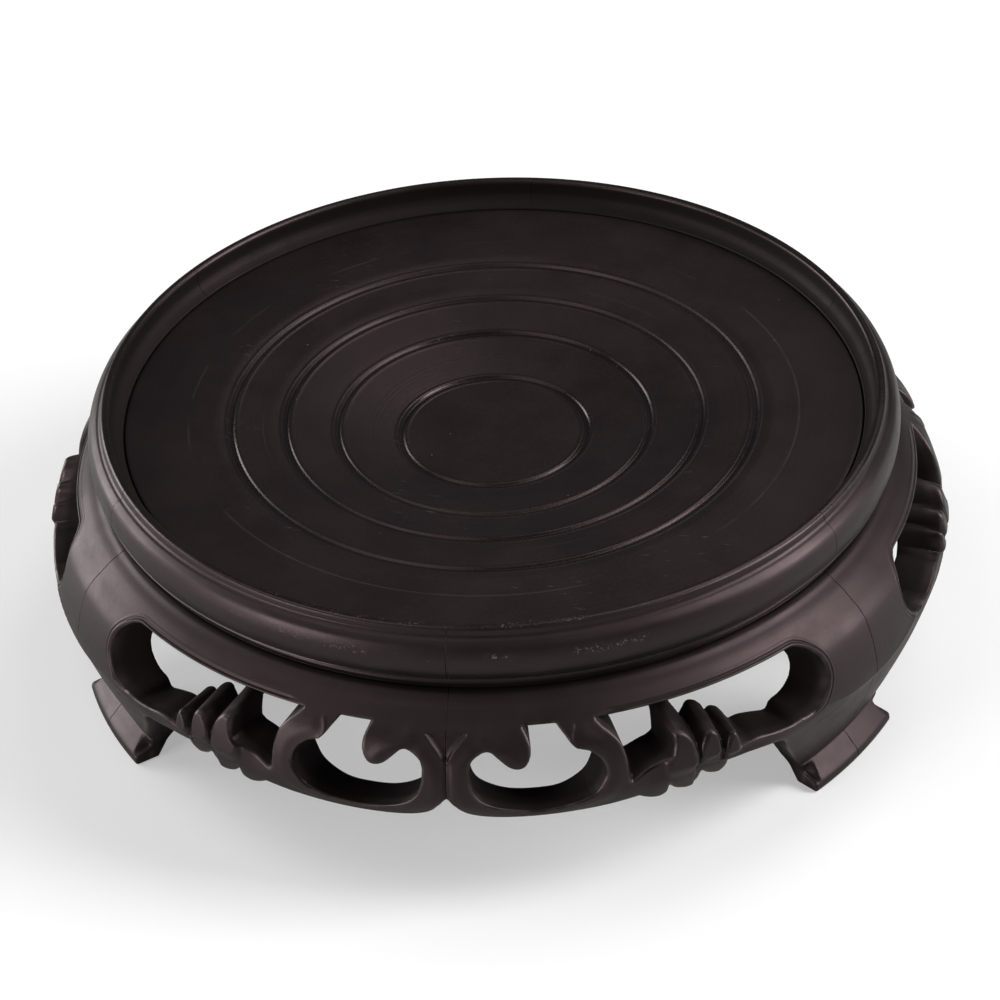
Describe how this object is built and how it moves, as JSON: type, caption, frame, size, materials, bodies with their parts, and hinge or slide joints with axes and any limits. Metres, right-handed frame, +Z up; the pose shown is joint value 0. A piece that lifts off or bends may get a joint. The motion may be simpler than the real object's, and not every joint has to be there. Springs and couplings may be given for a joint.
{
  "type": "plant stand",
  "caption": "Low round display stand: dished tray with a moulded rim on a pierced, scroll-carved apron and curved feet.",
  "frame": {"origin": "on the axis of the tray, in the plane of the soles", "axes": "+Z up along the tray's axis, -Y toward the middle of one apron panel, +Y toward the leg opposite it"},
  "size_m": [0.263, 0.261, 0.0817],
  "materials": {
    "rim": "satin dark brown lacquer, rubbed on the roll and the lip",
    "staves": "satin dark brown lacquer",
    "tray": "satin near-black lacquer with fine scratches and dust",
    "joinery": "bare, glued"
  },
  "bodies": {
    "root": {"leg_1_ankle_dowel": "joinery", "leg_1_knee_dowel": "joinery", "leg_1_shoulder_dowel": "joinery", "leg_2_ankle_dowel": "joinery", "leg_2_knee_dowel": "joinery", "leg_2_shoulder_dowel": "joinery", "leg_3_ankle_dowel": "joinery", "leg_3_knee_dowel": "joinery", "leg_3_shoulder_dowel": "joinery", "panel_1_scroll_dowel": "joinery", "panel_1_shoulder_dowel": "joinery", "panel_2_scroll_dowel": "joinery", "panel_2_shoulder_dowel": "joinery", "panel_3_scroll_dowel": "joinery", "panel_3_shoulder_dowel": "joinery", "rim_arc_1": "rim", "rim_arc_2": "rim", "rim_arc_3": "rim", "rim_arc_4": "rim", "rim_arc_5": "rim", "rim_arc_6": "rim", "rim_tongue_1": "joinery", "rim_tongue_2": "joinery", "rim_tongue_3": "joinery", "rim_tongue_4": "joinery", "rim_tongue_5": "joinery", "rim_tongue_6": "joinery", "seat_dowel_1a": "joinery", "seat_dowel_1b": "joinery", "seat_dowel_2a": "joinery", "seat_dowel_2b": "joinery", "seat_dowel_3a": "joinery", "seat_dowel_3b": "joinery", "seat_dowel_4a": "joinery", "seat_dowel_4b": "joinery", "seat_dowel_5a": "joinery", "seat_dowel_5b": "joinery", "seat_dowel_6a": "joinery", "seat_dowel_6b": "joinery", "stave_1_left": "staves", "stave_1_right": "staves", "stave_2_left": "staves", "stave_2_right": "staves", "stave_3_left": "staves", "stave_3_right": "staves", "tray_panel": "tray"}
  },
  "joints": []
}
